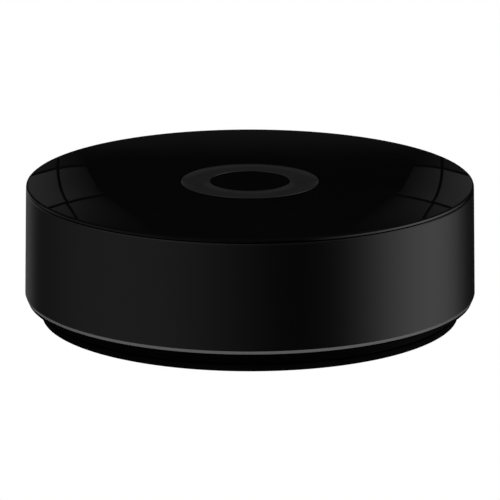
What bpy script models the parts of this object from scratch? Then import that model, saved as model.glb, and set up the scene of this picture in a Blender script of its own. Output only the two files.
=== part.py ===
"""Smart home hub: a round puck with a glossy top cover, a satin side shell and a recessed black base.

Lengths are in millimetres, and MM turns them into Blender's metres when a mesh is made. The origin is on the
surface the hub stands on, under its centre. +Z is up, -Y is the front, and the sockets are on the +Y side.
"""

import math

import bmesh
import bpy
from mathutils import Euler, Vector

MM = 0.001
GAP = 0.3
ROUND = 64
MEDIUM_ROUND = 36
SMALL_ROUND = 12

# Outer shape, from the foot to the crown of the cover
BODY_RADIUS = 54.0
BODY_HEIGHT = 33.0
FOOT_RADIUS = 50.0
FLANGE_RADIUS = 53.35
CHAMFER_RADIUS = 53.7
WALL_TOP_RADIUS = 53.57
RIM_RADIUS = 53.55
RIM_EDGE_RADIUS = 53.43
COVER_RADIUS = 53.3
FLANGE_Z = 4.25
CHAMFER_Z = 5.15
WALL_BOTTOM_Z = 6.0
WALL_TOP_Z = 31.3
SHELL_TOP_RADIUS = 53.4
SHELL_TOP_Z = 31.57
RIM_Z = SHELL_TOP_Z + GAP
RIM_EDGE_Z = 32.38
COVER_EDGE_Z = 32.61

# Shell inside
SHELL_INNER_RADIUS = 51.9
RECESS_RADIUS = 52.4
LEDGE_RADIUS = 50.4
LEDGE_TOP_Z = 30.2
LEDGE_DEPTH = 1.3
COVER_BOTTOM_Z = 31.3

# Status ring, inlaid in the cover
RING_INNER_RADIUS = 9.6
RING_OUTER_RADIUS = 16.5
RING_SEAT_Z = 32.15

# Base
FOOT_HEIGHT = 1.6
FOOT_WIDTH = 7.8
BASE_BOTTOM_Z = FOOT_HEIGHT + GAP
BASE_FLOOR_Z = BASE_BOTTOM_Z + 2.0
SPIGOT_RADIUS = 51.5
SPIGOT_THICKNESS = 1.4
SPIGOT_TOP_Z = 8.0
VENT_COUNT = 16
VENT_START = 24.0
VENT_END = 32.0
VENT_WIDTH = 1.6

# Main board and what stands on it
BOARD_RADIUS = 42.0
BOARD_BOTTOM_Z = 8.0
BOARD_TOP_Z = 9.6
BOARD_TAB_X = 20.0
BOARD_TAB_Y = 44.0
PARTS_Z = BOARD_TOP_Z + GAP

# Name, centre, size, look and edge of each square part on the main board
BOARD_PARTS = (
    ("wifi_shield", (-20, -6), (16, 14, 2.5), "steel", 0.4),
    ("zigbee_shield", (22, -8), (14, 12, 2.5), "steel", 0.4),
    ("processor", (0, -2), (14, 14, 1.2), "chip", 0.15),
    ("memory_chip", (4.5, 14.5), (9, 9, 1.0), "chip", 0.15),
    ("ethernet_transformer", (-8.5, 17), (13, 9, 5.0), "chip", 0.3),
    ("power_inductor", (12, 28), (7, 7, 4.0), "chip", 0.8),
    ("board_connector", (0, -19), (12, 4.4, 4.0), "connector", 0.2),
)
PROCESSOR_HEIGHT = 1.2
CONNECTOR_Y = -19.0
BOARD_CONNECTOR_HEIGHT = 4.0
STATUS_CONNECTOR_HEIGHT = 3.0
CAPACITOR_PLACES = ((33, 16), (36, 6), (21, 21))

# Status board, near the top
FRAME_BOTTOM_Z = 24.0
FRAME_TOP_Z = 25.6
FRAME_INNER_RADIUS = 24.0
FRAME_OUTER_RADIUS = 36.0
STATUS_BOARD_RADIUS = 34.5
STATUS_BOARD_Z = FRAME_TOP_Z + GAP
STATUS_BOARD_THICKNESS = 1.0
LEDS_Z = STATUS_BOARD_Z + STATUS_BOARD_THICKNESS + GAP

# Socket bay at the rear
BAY_HALF_WIDTH = 19.3
BAY_LOW_Z = 6.9
BAY_HIGH_Z = 24.8
BAY_CORNER = 2.0
PANEL_BACK_Y = 47.5
PANEL_FACE_Y = 49.5
PANEL_RIM_RADIUS = 53.3
PANEL_RIM = 1.2
SOCKET_FACE_Y = PANEL_BACK_Y - GAP
RJ45_X = -8.5
USB_X = 5.4
BUTTON_X = 14.2
BUTTON_Z = 12.4
BUTTON_RADIUS = 2.2
BUTTON_TRAVEL = 0.4

# Reset switch, reached through a pinhole in the base
RESET_Y = -37.5
RESET_TRAVEL = 0.25

# Screws and their columns
SCREW_ANGLES = (30, 150, 210, 330)
SCREW_CIRCLE = 46.2
POST_ANGLES = (45, 135, 225, 315)
POST_CIRCLE = 38.0
LEG_ANGLES = (20, 160, 235, 305)
LEG_CIRCLE = 30.0
SCREW_HOLE_RADIUS = 1.45


def clear_scene():
    for thing in list(bpy.data.objects):
        bpy.data.objects.remove(thing, do_unlink=True)


def material(name, colour, roughness, metallic=0.0):
    made = bpy.data.materials.new(name)
    made.use_nodes = True
    shader = made.node_tree.nodes["Principled BSDF"]
    shader.inputs["Base Color"].default_value = (*colour, 1.0)
    shader.inputs["Roughness"].default_value = roughness
    shader.inputs["Metallic"].default_value = metallic
    return made


def around(radius, degrees):
    """A point on a circle about the hub's axis."""
    turn = math.radians(degrees)
    return radius * math.cos(turn), radius * math.sin(turn)


def arc(centre, radius, start, end, steps):
    """Points along an arc, both ends included, with angles in degrees."""
    turns = [math.radians(start + (end - start) * i / steps) for i in range(steps + 1)]
    return [(centre[0] + radius * math.cos(t), centre[1] + radius * math.sin(t)) for t in turns]


def rounded_rectangle(low, high, radius, steps=3):
    """The outline of a rectangle with round corners, anticlockwise."""
    corners = (
        ((high[0] - radius, low[1] + radius), -90),
        ((high[0] - radius, high[1] - radius), 0),
        ((low[0] + radius, high[1] - radius), 90),
        ((low[0] + radius, low[1] + radius), 180),
    )
    outline = []
    for centre, start in corners:
        outline += arc(centre, radius, start, start + 90, steps)
    return outline


def add_turned(bm, outline, segments=ROUND, centre=(0.0, 0.0)):
    """Spin an outline of (radius, height) points about an upright axis. An outline that ends on the axis stays open."""
    points = [bm.verts.new(((centre[0] + r) * MM, centre[1] * MM, z * MM)) for r, z in outline]
    edges = [bm.edges.new(pair) for pair in zip(points, points[1:])]
    if outline[0][0] or outline[-1][0]:
        edges.append(bm.edges.new((points[-1], points[0])))
    pivot = (centre[0] * MM, centre[1] * MM, 0)
    bmesh.ops.spin(bm, geom=points + edges, cent=pivot, axis=(0, 0, 1), angle=math.tau, steps=segments, use_merge=True)
    bmesh.ops.remove_doubles(bm, verts=bm.verts[:], dist=1e-7)


def add_cylinder(bm, radius, low, high, segments=SMALL_ROUND, centre=(0.0, 0.0)):
    add_turned(bm, [(0, low), (radius, low), (radius, high), (0, high)], segments, centre)


def add_block(bm, low, high):
    """A box between two corners."""
    size = [(b - a) * MM for a, b in zip(low, high)]
    middle = [(a + b) / 2 * MM for a, b in zip(low, high)]
    made = bmesh.ops.create_cube(bm, size=1.0)
    bmesh.ops.scale(bm, vec=size, verts=made["verts"])
    bmesh.ops.translate(bm, vec=middle, verts=made["verts"])


def add_plate(bm, outline, low, high, place=lambda x, y, z: (x, y, z)):
    """An outline extruded from low to high. place says which way the outline lies."""
    base = [bm.verts.new(Vector(place(x, y, low)) * MM) for x, y in outline]
    top = [bm.verts.new(Vector(place(x, y, high)) * MM) for x, y in outline]
    bm.faces.new(base)
    bm.faces.new(top)
    for i, vert in enumerate(base):
        j = (i + 1) % len(base)
        bm.faces.new((vert, base[j], top[j], top[i]))


def facing_y(x, z, y):
    """Places an outline drawn in X and Z, extruded along Y."""
    return x, y, z


def facing_x(y, z, x):
    """Places an outline drawn in Y and Z, extruded along X."""
    return x, y, z


def finish(name, bm, look=None, location=(0, 0, 0), rotation=(0, 0, 0)):
    """Turn a bmesh into an object with outward faces. With no look, it is a helper that cuts or joins."""
    bmesh.ops.recalc_face_normals(bm, faces=bm.faces[:])
    mesh = bpy.data.meshes.new(name)
    bm.to_mesh(mesh)
    bm.free()
    mesh.shade_smooth()
    mesh.set_sharp_from_angle(angle=math.radians(35))
    made = bpy.data.objects.new(name, mesh)
    bpy.context.scene.collection.objects.link(made)
    made.location = Vector(location) * MM
    made.rotation_euler = Euler([math.radians(a) for a in rotation])
    if look:
        mesh.materials.append(look)
    else:
        made.hide_render = True
        made.display_type = "WIRE"
    return made


def combine(target, helper, operation):
    modifier = target.modifiers.new(helper.name, "BOOLEAN")
    modifier.operation = operation
    modifier.solver = "EXACT"
    modifier.object = helper
    helper.parent = target
    helper.matrix_parent_inverse = target.matrix_world.inverted()


def bevel(target, width):
    modifier = target.modifiers.new("edge", "BEVEL")
    modifier.width = width * MM
    modifier.segments = 1
    modifier.limit_method = "ANGLE"


def block(name, low, high, look, edge=0.0):
    bm = bmesh.new()
    add_block(bm, low, high)
    made = finish(name, bm, look)
    if edge:
        bevel(made, edge)
    return made


def centred_block(name, centre, size, low, look, edge=0.0):
    """A block that stands at height low, with its middle at centre."""
    x, y = centre
    half_x, half_y = size[0] / 2, size[1] / 2
    return block(name, (x - half_x, y - half_y, low), (x + half_x, y + half_y, low + size[2]), look, edge)


def turned(name, outline, look, segments=ROUND, location=(0, 0, 0), rotation=(0, 0, 0)):
    bm = bmesh.new()
    add_turned(bm, outline, segments)
    return finish(name, bm, look, location, rotation)


def cover_height(radius):
    """Height of the slightly domed top cover at a distance from its axis."""
    return BODY_HEIGHT - (BODY_HEIGHT - COVER_EDGE_Z) * (radius / COVER_RADIUS) ** 2


def make_top_cover(look):
    """A full-width disc with a bevelled rim over the wall, a plug in the wall's recess and a skirt inside its ledge."""
    plug_radius = RECESS_RADIUS - GAP
    seat_inner = RING_INNER_RADIUS - GAP
    seat_outer = RING_OUTER_RADIUS + GAP
    skirt_outer = LEDGE_RADIUS - 0.4
    skirt_inner = skirt_outer - 1.1
    skirt_z = LEDGE_TOP_Z - 2.0
    outline = [(0, COVER_BOTTOM_Z), (skirt_inner, COVER_BOTTOM_Z), (skirt_inner, skirt_z)]
    outline += [(skirt_outer, skirt_z), (skirt_outer, COVER_BOTTOM_Z), (plug_radius, COVER_BOTTOM_Z)]
    outline += [(plug_radius, RIM_Z), (RIM_RADIUS, RIM_Z), (RIM_EDGE_RADIUS, RIM_EDGE_Z)]
    outline += [(r, cover_height(r)) for r in (COVER_RADIUS, 42.0, 30.0, seat_outer)]
    outline += [(seat_outer, RING_SEAT_Z), (seat_inner, RING_SEAT_Z)]
    outline += [(r, cover_height(r)) for r in (seat_inner, 0)]
    turned("top_cover", outline, look)


def make_status_ring(look):
    low = RING_SEAT_Z + GAP
    high = cover_height(RING_OUTER_RADIUS)
    inner, outer = RING_INNER_RADIUS, RING_OUTER_RADIUS
    outline = [(inner, low), (outer, low), (outer, high - 0.1), (outer - 0.1, high)]
    outline += [(inner + 0.1, high), (inner, high - 0.1)]
    turned("status_ring", outline, look, MEDIUM_ROUND)


def make_cover_gasket(look):
    low = LEDGE_TOP_Z + GAP
    high = COVER_BOTTOM_Z - GAP
    turned("cover_gasket", [(50.7, low), (51.9, low), (51.9, high), (50.7, high)], look, MEDIUM_ROUND)


def make_side_shell(look):
    """The round wall, with a recess and a ledge for the cover, and four screw columns."""
    outline = [(SHELL_INNER_RADIUS, CHAMFER_Z), (CHAMFER_RADIUS, CHAMFER_Z), (BODY_RADIUS, WALL_BOTTOM_Z)]
    outline += [(WALL_TOP_RADIUS, WALL_TOP_Z), (SHELL_TOP_RADIUS, SHELL_TOP_Z), (RECESS_RADIUS, SHELL_TOP_Z)]
    outline += [(RECESS_RADIUS, LEDGE_TOP_Z), (LEDGE_RADIUS, LEDGE_TOP_Z)]
    outline += [(LEDGE_RADIUS, LEDGE_TOP_Z - LEDGE_DEPTH), (SHELL_INNER_RADIUS, LEDGE_TOP_Z - 2 * LEDGE_DEPTH)]
    shell = turned("side_shell", outline, look)

    web_low, web_high = SPIGOT_TOP_Z + 0.4, 14.0
    for number, degrees in enumerate(SCREW_ANGLES, 1):
        web = bmesh.new()
        add_block(web, (SCREW_CIRCLE, -1.5, web_low), (SHELL_INNER_RADIUS + 0.8, 1.5, web_high))
        combine(shell, finish(f"web_{number}", web, rotation=(0, 0, degrees)), "UNION")
        column = bmesh.new()
        add_cylinder(column, 3.0, BASE_FLOOR_Z + GAP, web_high + 1.0, centre=(SCREW_CIRCLE, 0))
        combine(shell, finish(f"column_{number}", column, rotation=(0, 0, degrees)), "UNION")

    cuts = bmesh.new()
    for degrees in SCREW_ANGLES:
        add_cylinder(cuts, SCREW_HOLE_RADIUS, 0, 12.6, centre=around(SCREW_CIRCLE, degrees))
    corners = rounded_rectangle((-BAY_HALF_WIDTH, BAY_LOW_Z), (BAY_HALF_WIDTH, BAY_HIGH_Z), BAY_CORNER)
    add_plate(cuts, corners, 40, 60, facing_y)
    combine(shell, finish("shell_cuts", cuts), "DIFFERENCE")


def make_port_panel(look):
    """A tray that fills the opening at the rear. Its rim follows the round wall, and its flat floor holds the sockets."""
    corners = rounded_rectangle(
        (-BAY_HALF_WIDTH + GAP, BAY_LOW_Z + GAP), (BAY_HALF_WIDTH - GAP, BAY_HIGH_Z - GAP), BAY_CORNER - GAP
    )
    body = bmesh.new()
    add_plate(body, corners, PANEL_BACK_Y, 60, facing_y)
    panel = finish("port_panel", body, look)

    rim = bmesh.new()
    add_cylinder(rim, PANEL_RIM_RADIUS, 0, 30, ROUND)
    combine(panel, finish("panel_rim", rim), "INTERSECT")

    cuts = bmesh.new()
    inset = GAP + PANEL_RIM
    tray = rounded_rectangle(
        (-BAY_HALF_WIDTH + inset, BAY_LOW_Z + inset), (BAY_HALF_WIDTH - inset, BAY_HIGH_Z - inset), 1.0
    )
    add_plate(cuts, tray, PANEL_FACE_Y, 61, facing_y)
    combine(panel, finish("panel_tray", cuts), "DIFFERENCE")

    holes = bmesh.new()
    rj45 = rounded_rectangle((RJ45_X - 6.3, 11.6), (RJ45_X + 6.3, 21.2), 0.5, 1)
    add_plate(holes, rj45, PANEL_BACK_Y - 1, PANEL_FACE_Y + 1, facing_y)
    usb_z = PARTS_Z + 1.6
    usb = rounded_rectangle((USB_X - 4.8, usb_z - 1.9), (USB_X + 4.8, usb_z + 1.9), 1.8, 4)
    add_plate(holes, usb, PANEL_BACK_Y - 1, PANEL_FACE_Y + 1, facing_y)
    button = arc((BUTTON_X, BUTTON_Z), BUTTON_RADIUS + GAP, 0, 330, 11)
    add_plate(holes, button, PANEL_BACK_Y - 1, PANEL_FACE_Y + 1, facing_y)
    combine(panel, finish("panel_holes", holes), "DIFFERENCE")


def radial_slot(degrees):
    """The outline of a vent slot that points at the hub's axis."""
    side = Vector(around(VENT_WIDTH / 2, degrees + 90))
    start, end = Vector(around(VENT_START, degrees)), Vector(around(VENT_END, degrees))
    return [tuple(corner) for corner in (start - side, end - side, end + side, start + side)]


def make_bottom_cover(look):
    """The dish under the hub: a recessed plinth, a flange and a spigot that centres the shell."""
    inner = SPIGOT_RADIUS - SPIGOT_THICKNESS
    outline = [(0, BASE_BOTTOM_Z), (FOOT_RADIUS, BASE_BOTTOM_Z), (FOOT_RADIUS, FLANGE_Z)]
    outline += [(FLANGE_RADIUS, FLANGE_Z), (FLANGE_RADIUS, CHAMFER_Z - GAP), (SPIGOT_RADIUS, CHAMFER_Z - GAP)]
    outline += [(SPIGOT_RADIUS, SPIGOT_TOP_Z), (inner, SPIGOT_TOP_Z), (inner, BASE_FLOOR_Z + 0.6)]
    outline += [(inner - 0.6, BASE_FLOOR_Z), (0, BASE_FLOOR_Z)]
    base = turned("bottom_cover", outline, look)

    posts = bmesh.new()
    for degrees in POST_ANGLES:
        add_cylinder(posts, 3.0, BASE_FLOOR_Z - 0.5, BOARD_BOTTOM_Z - GAP, centre=around(POST_CIRCLE, degrees))
    combine(base, finish("board_posts", posts), "UNION")

    cuts = bmesh.new()
    for degrees in POST_ANGLES:
        add_cylinder(cuts, SCREW_HOLE_RADIUS, BASE_FLOOR_Z + 0.5, 12, centre=around(POST_CIRCLE, degrees))
    for degrees in SCREW_ANGLES:
        place = around(SCREW_CIRCLE, degrees)
        add_turned(cuts, [(0, 1), (2.9, 1), (2.9, 3.05), (1.5, 3.05), (1.5, 5), (0, 5)], SMALL_ROUND, place)
    add_cylinder(cuts, 0.9, 0, 6, centre=(0, RESET_Y))
    add_block(cuts, (-BAY_HALF_WIDTH - 1.5, 40, 6.3), (BAY_HALF_WIDTH + 1.5, 60, 10))
    combine(base, finish("base_cuts", cuts), "DIFFERENCE")

    slots = bmesh.new()
    for number in range(VENT_COUNT):
        add_plate(slots, radial_slot(360 * number / VENT_COUNT), BASE_BOTTOM_Z - 1, BASE_FLOOR_Z + 1)
    combine(base, finish("vent_slots", slots), "DIFFERENCE")


def make_rubber_foot(look):
    inner = FOOT_RADIUS - FOOT_WIDTH
    outline = [(inner + 0.3, 0), (FOOT_RADIUS - 0.3, 0), (FOOT_RADIUS, 0.3), (FOOT_RADIUS, FOOT_HEIGHT)]
    outline += [(inner, FOOT_HEIGHT), (inner, 0.3)]
    turned("rubber_foot", outline, look)


def make_rating_label(look):
    bm = bmesh.new()
    high = BASE_BOTTOM_Z - GAP
    add_plate(bm, rounded_rectangle((-15, -10), (15, 10), 2.0), high - 0.3, high)
    finish("rating_label", bm, look)


def make_inner_frame(look):
    """The carrier of the status board: a flat ring on four legs."""
    outline = [(FRAME_INNER_RADIUS, FRAME_BOTTOM_Z), (FRAME_OUTER_RADIUS, FRAME_BOTTOM_Z)]
    outline += [(FRAME_OUTER_RADIUS, FRAME_TOP_Z), (FRAME_INNER_RADIUS, FRAME_TOP_Z)]
    ring = turned("inner_frame", outline, look, MEDIUM_ROUND)
    legs = bmesh.new()
    for degrees in LEG_ANGLES:
        add_cylinder(legs, 2.2, PARTS_Z, FRAME_BOTTOM_Z + 0.8, centre=around(LEG_CIRCLE, degrees))
    combine(ring, finish("frame_legs", legs), "UNION")


def make_main_board(look):
    edge = math.degrees(math.acos(BOARD_TAB_X / BOARD_RADIUS))
    outline = [(BOARD_TAB_X, BOARD_TAB_Y), (-BOARD_TAB_X, BOARD_TAB_Y)]
    outline += arc((0, 0), BOARD_RADIUS, 180 - edge, 360 + edge, 40)
    bm = bmesh.new()
    add_plate(bm, outline, BOARD_BOTTOM_Z, BOARD_TOP_Z)
    board = finish("main_board", bm, look)
    holes = bmesh.new()
    for degrees in POST_ANGLES:
        add_cylinder(holes, SCREW_HOLE_RADIUS, 5, 12, centre=around(POST_CIRCLE, degrees))
    combine(board, finish("board_holes", holes), "DIFFERENCE")


def make_status_board(look):
    low, high = STATUS_BOARD_Z, STATUS_BOARD_Z + STATUS_BOARD_THICKNESS
    outline = [(5, low), (STATUS_BOARD_RADIUS, low), (STATUS_BOARD_RADIUS, high), (5, high)]
    turned("status_board", outline, look, MEDIUM_ROUND)


def make_lights(led_look, ir_look, black):
    """Four status lights under the ring, six infrared lamps that point outwards, and the infrared receiver."""
    for number in range(4):
        place = around((RING_INNER_RADIUS + RING_OUTER_RADIUS) / 2, 45 + 90 * number)
        centred_block(f"status_led_{number + 1}", place, (3.0, 3.0, 1.5), LEDS_Z, led_look, 0.2)
    bulb = [(0, 0), (1.7, 0), (1.7, 0.8), (1.5, 0.8)] + arc((0, 3.4), 1.5, 0, 90, 3)
    for number in range(6):
        x, y = around(26.4, 60 * number)
        turned(f"ir_led_{number + 1}", bulb, ir_look, SMALL_ROUND, (x, y, LEDS_Z + 1.75), (0, 90, 60 * number))
    centred_block("ir_receiver", (0, -29), (5.5, 3.4, 3.4), LEDS_Z, black, 0.3)
    low, high = LEDS_Z, COVER_BOTTOM_Z - GAP
    turned("light_baffle", [(17.3, low), (18.5, low), (18.5, high), (17.3, high)], black, 24)


def make_rj45_jack(look):
    half_width = 8.0
    jack = block(
        "rj45_jack", (RJ45_X - half_width, 26.2, PARTS_Z), (RJ45_X + half_width, SOCKET_FACE_Y, PARTS_Z + 13.3), look
    )
    socket = bmesh.new()
    outline = [(-3.2, 12.0), (3.2, 12.0), (3.2, 13.7), (5.9, 13.7), (5.9, 20.9), (-5.9, 20.9), (-5.9, 13.7), (-3.2, 13.7)]
    add_plate(socket, [(RJ45_X + x, z) for x, z in outline], 34.5, SOCKET_FACE_Y + 2, facing_y)
    combine(jack, finish("rj45_socket", socket), "DIFFERENCE")


def make_usb_socket(look, tongue_look):
    middle = PARTS_Z + 1.6
    body = bmesh.new()
    outline = rounded_rectangle((USB_X - 4.5, middle - 1.6), (USB_X + 4.5, middle + 1.6), 1.5, 4)
    add_plate(body, outline, 39.8, SOCKET_FACE_Y, facing_y)
    socket = finish("usb_socket", body, look)
    hollow = bmesh.new()
    outline = rounded_rectangle((USB_X - 4.15, middle - 1.25), (USB_X + 4.15, middle + 1.25), 1.2, 4)
    add_plate(hollow, outline, 41.2, SOCKET_FACE_Y + 2, facing_y)
    combine(socket, finish("usb_hollow", hollow), "DIFFERENCE")
    block("usb_tongue", (USB_X - 3.35, 41.5, middle - 0.35), (USB_X + 3.35, SOCKET_FACE_Y - 0.8, middle + 0.35), tongue_look)


def make_pairing_button(cap_look, body_look, plunger_look):
    """A round key in the rear panel, which presses a tact switch that lies on its side on the board."""
    flange_back = SOCKET_FACE_Y - 1.1
    stem_end = flange_back - 1.3
    face = PANEL_FACE_Y + 0.3
    outline = [(0, stem_end), (1.2, stem_end), (1.2, flange_back), (BUTTON_RADIUS + 0.9, flange_back)]
    outline += [(BUTTON_RADIUS + 0.9, SOCKET_FACE_Y), (BUTTON_RADIUS, SOCKET_FACE_Y), (BUTTON_RADIUS, face - 0.3)]
    outline += [(BUTTON_RADIUS - 0.3, face), (0, face)]
    upright = [(r, y - face) for r, y in outline]
    turned("pairing_button", upright, cap_look, 20, (BUTTON_X, face, BUTTON_Z), (-90, 0, 0))

    plunger_face = stem_end - GAP
    plunger_length = 2.6
    outline = [(0, -plunger_length), (1.2, -plunger_length), (1.2, 0), (0, 0)]
    turned("pairing_plunger", outline, plunger_look, SMALL_ROUND, (BUTTON_X, plunger_face, BUTTON_Z), (-90, 0, 0))

    front = plunger_face - 1.2
    switch = block("pairing_switch", (BUTTON_X - 3, front - 5.5, PARTS_Z), (BUTTON_X + 3, front, PARTS_Z + 5), body_look)
    hole = bmesh.new()
    depth = plunger_face - plunger_length - BUTTON_TRAVEL - GAP
    add_plate(hole, arc((BUTTON_X, BUTTON_Z), 1.5, 0, 330, 11), depth, front + 1, facing_y)
    combine(switch, finish("pairing_switch_hole", hole), "DIFFERENCE")


def make_reset_switch(body_look, plunger_look):
    """A switch under the main board, pressed upwards with a pin through the base."""
    high = BOARD_BOTTOM_Z - GAP
    switch = block("reset_switch", (-2.3, RESET_Y - 2.3, high - 2.2), (2.3, RESET_Y + 2.3, high), body_look)
    hole = bmesh.new()
    add_cylinder(hole, 1.0, high - 4, high - 0.6, centre=(0, RESET_Y))
    combine(switch, finish("reset_switch_hole", hole), "DIFFERENCE")
    tip = high - 3.1
    top = high - 0.6 - GAP - RESET_TRAVEL
    turned("reset_plunger", [(0, 0), (0.7, 0), (0.7, top - tip), (0, top - tip)], plunger_look, 10, (0, RESET_Y, tip))


def make_board_parts(looks):
    """Chips, shields, connectors and power parts that stand on the main board."""
    for name, centre, size, look, edge in BOARD_PARTS:
        centred_block(name, centre, size, PARTS_Z, looks[look], edge)
    spreader_z = PARTS_Z + PROCESSOR_HEIGHT + GAP
    centred_block("heat_spreader", (0, -2), (21, 21, 1.5), spreader_z, looks["aluminium"], 0.4)
    connector_z = STATUS_BOARD_Z - GAP - STATUS_CONNECTOR_HEIGHT
    connector_size = (10, 4.4, STATUS_CONNECTOR_HEIGHT)
    centred_block("status_connector", (0, CONNECTOR_Y), connector_size, connector_z, looks["connector"], 0.2)
    can = [(0, 0), (3.0, 0), (3.0, 1.0), (2.75, 1.4), (3.0, 1.8), (3.0, 7.7), (2.7, 8.0), (0, 8.0)]
    for number, place in enumerate(CAPACITOR_PLACES, 1):
        turned(f"capacitor_{number}", can, looks["aluminium"], SMALL_ROUND, (*place, PARTS_Z))
    sounder = [(0, 0), (6, 0), (6, 5.5), (5.5, 6), (1.2, 6), (1.2, 4.5), (0, 4.5)]
    turned("buzzer", sounder, looks["chip"], 20, (-3, -31, PARTS_Z))


def make_ribbon_cable(look):
    """A flat flexible cable with a little slack, from the main board's connector up to the status board's."""
    low = PARTS_Z + BOARD_CONNECTOR_HEIGHT + GAP
    high = STATUS_BOARD_Z - STATUS_CONNECTOR_HEIGHT - 2 * GAP
    steps, slack, thickness, width = 8, 1.6, 0.4, 8.0
    shares = [i / steps for i in range(steps + 1)]
    middle = [(CONNECTOR_Y + slack * math.sin(math.pi * s), low + (high - low) * s) for s in shares]
    outline = [(y - thickness / 2, z) for y, z in middle]
    outline += [(y + thickness / 2, z) for y, z in reversed(middle)]
    bm = bmesh.new()
    add_plate(bm, outline, -width / 2, width / 2, facing_x)
    finish("ribbon_cable", bm, look)


def make_antennas(board_look, lead_look):
    """Two strips that follow the inside of the wall, each fed by a thin coaxial lead from its radio."""
    for name, middle in (("wifi_antenna", 180), ("zigbee_antenna", 0)):
        outline = arc((0, 0), 50.8, middle - 14, middle + 14, 8) + arc((0, 0), 50.0, middle + 14, middle - 14, 8)
        bm = bmesh.new()
        add_plate(bm, outline, 15, 24)
        finish(name, bm, board_look)
    routes = {
        "wifi_antenna_lead": [(-28.4, -6, 11), (-32, -6.4, 11), (-39, -5.5, 13.5), (-45, -2, 18), (-49.4, 0, 19)],
        "zigbee_antenna_lead": [(29.4, -8, 11), (33, -8.2, 11), (39, -6.5, 13.5), (45, -2, 18), (49.4, 0, 19)],
    }
    for name, route in routes.items():
        add_lead(name, route, 0.55, lead_look)


def add_lead(name, route, radius, look):
    """A thin round lead through the given points, as a curve with a round bevel."""
    curve = bpy.data.curves.new(name, "CURVE")
    curve.dimensions = "3D"
    curve.bevel_depth = radius * MM
    curve.bevel_resolution = 1
    curve.use_fill_caps = True
    curve.resolution_u = 4
    spline = curve.splines.new("BEZIER")
    spline.bezier_points.add(len(route) - 1)
    for point, place in zip(spline.bezier_points, route):
        point.co = Vector(place) * MM
        point.handle_left_type = "AUTO"
        point.handle_right_type = "AUTO"
    curve.materials.append(look)
    made = bpy.data.objects.new(name, curve)
    bpy.context.scene.collection.objects.link(made)


def make_ballast(look):
    low = BASE_FLOOR_Z + GAP
    turned("ballast_plate", [(3, low), (21, low), (21, low + 2), (3, low + 2)], look, 24)


def make_screws(look):
    """Four screws up through the base into the shell, and four down through the board into the base."""
    base_screw = [(0, 0.4), (0.9, 0), (2.5, 0), (2.5, 1.0), (1.1, 1.0), (1.1, 9.6), (0.5, 10.2), (0, 10.2)]
    for number, degrees in enumerate(SCREW_ANGLES, 1):
        place = (*around(SCREW_CIRCLE, degrees), BASE_BOTTOM_Z + 0.05)
        turned(f"base_screw_{number}", base_screw, look, SMALL_ROUND, place)
    board_screw = [(0, -4.9), (0.5, -4.9), (1.1, -4.3), (1.1, 0), (2.6, 0), (2.6, 0.9), (2.0, 1.4), (1.0, 1.4), (0, 0.7)]
    for number, degrees in enumerate(POST_ANGLES, 1):
        place = (*around(POST_CIRCLE, degrees), PARTS_Z)
        turned(f"board_screw_{number}", board_screw, look, SMALL_ROUND, place)


def build():
    clear_scene()
    gloss = material("gloss_cover", (0.008, 0.008, 0.009), 0.04)
    window = material("status_window", (0.05, 0.05, 0.052), 0.15)
    satin = material("satin_shell", (0.02, 0.02, 0.021), 0.38)
    base = material("base_plastic", (0.012, 0.012, 0.012), 0.55)
    port = material("port_plastic", (0.015, 0.015, 0.016), 0.5)
    key = material("button_plastic", (0.05, 0.05, 0.052), 0.45)
    rubber = material("foot_rubber", (0.015, 0.015, 0.015), 0.85)
    foam = material("gasket_foam", (0.03, 0.03, 0.03), 0.95)
    label = material("label_stock", (0.55, 0.55, 0.55), 0.5)
    frame = material("frame_plastic", (0.6, 0.6, 0.58), 0.5)
    board = material("circuit_board", (0.02, 0.11, 0.05), 0.35)
    chip = material("chip_plastic", (0.02, 0.02, 0.022), 0.5)
    connector = material("connector_plastic", (0.7, 0.68, 0.6), 0.45)
    led = material("led_lens", (0.8, 0.8, 0.75), 0.2)
    ir_lens = material("ir_lens", (0.04, 0.02, 0.06), 0.1)
    flex = material("flex_film", (0.45, 0.22, 0.05), 0.4)
    lead = material("lead_jacket", (0.03, 0.03, 0.03), 0.6)
    steel = material("steel", (0.55, 0.55, 0.56), 0.3, 1.0)
    aluminium = material("aluminium", (0.75, 0.76, 0.78), 0.35, 1.0)
    zinc = material("zinc_screw", (0.45, 0.45, 0.46), 0.35, 1.0)

    make_top_cover(gloss)
    make_status_ring(window)
    make_cover_gasket(foam)
    make_side_shell(satin)
    make_port_panel(port)
    make_bottom_cover(base)
    make_rubber_foot(rubber)
    make_rating_label(label)
    make_inner_frame(frame)
    make_main_board(board)
    make_status_board(board)
    make_lights(led, ir_lens, chip)
    make_rj45_jack(steel)
    make_usb_socket(steel, chip)
    make_pairing_button(key, chip, connector)
    make_reset_switch(chip, connector)
    make_board_parts({"chip": chip, "steel": steel, "connector": connector, "aluminium": aluminium})
    make_ribbon_cable(flex)
    make_antennas(board, lead)
    make_ballast(steel)
    make_screws(zinc)


build()
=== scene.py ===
import itertools
import math

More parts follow.
